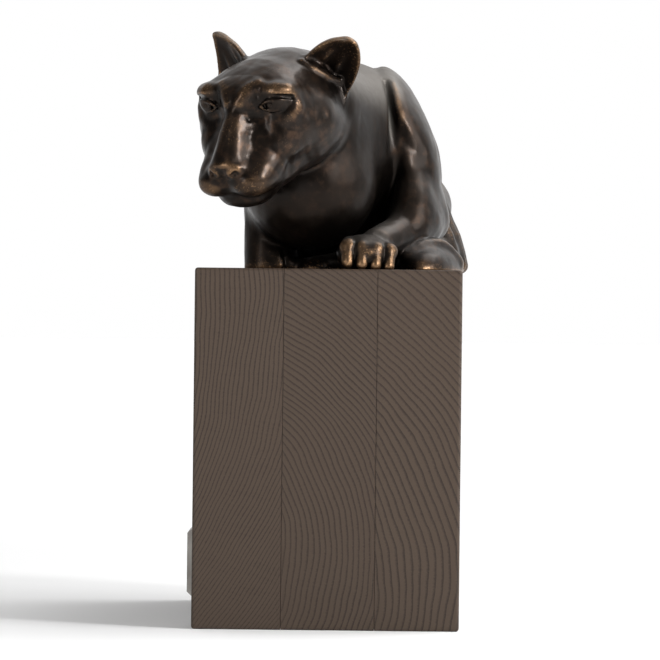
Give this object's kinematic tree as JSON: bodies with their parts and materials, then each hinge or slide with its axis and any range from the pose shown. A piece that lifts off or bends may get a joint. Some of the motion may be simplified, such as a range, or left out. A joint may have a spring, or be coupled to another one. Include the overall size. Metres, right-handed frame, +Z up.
{
  "type": "feline statue",
  "caption": "Lying big cat cast in bronze, its head turned and leaning out over the front of a tall wooden block glued up from boards, with a bare side plate.",
  "frame": {"origin": "centre of the wooden block's underside", "axes": "+Z up, +Y from the block's front face, where the head looks out, to its back face, +X to the right seen from the front"},
  "size_m": [0.1286, 0.3011, 0.2694],
  "materials": {
    "plinth_wood": "satin, end grain at the front and back",
    "plate_metal": "dulled, brushed",
    "bronze": "dark brown patina, half gloss, rubbed to gold on the ridges"
  },
  "bodies": {
    "root": {"plinth_board_left": "plinth_wood", "plinth_board_middle": "plinth_wood", "plinth_board_right": "plinth_wood", "name_plate": "plate_metal", "panther": "bronze"}
  },
  "joints": []
}
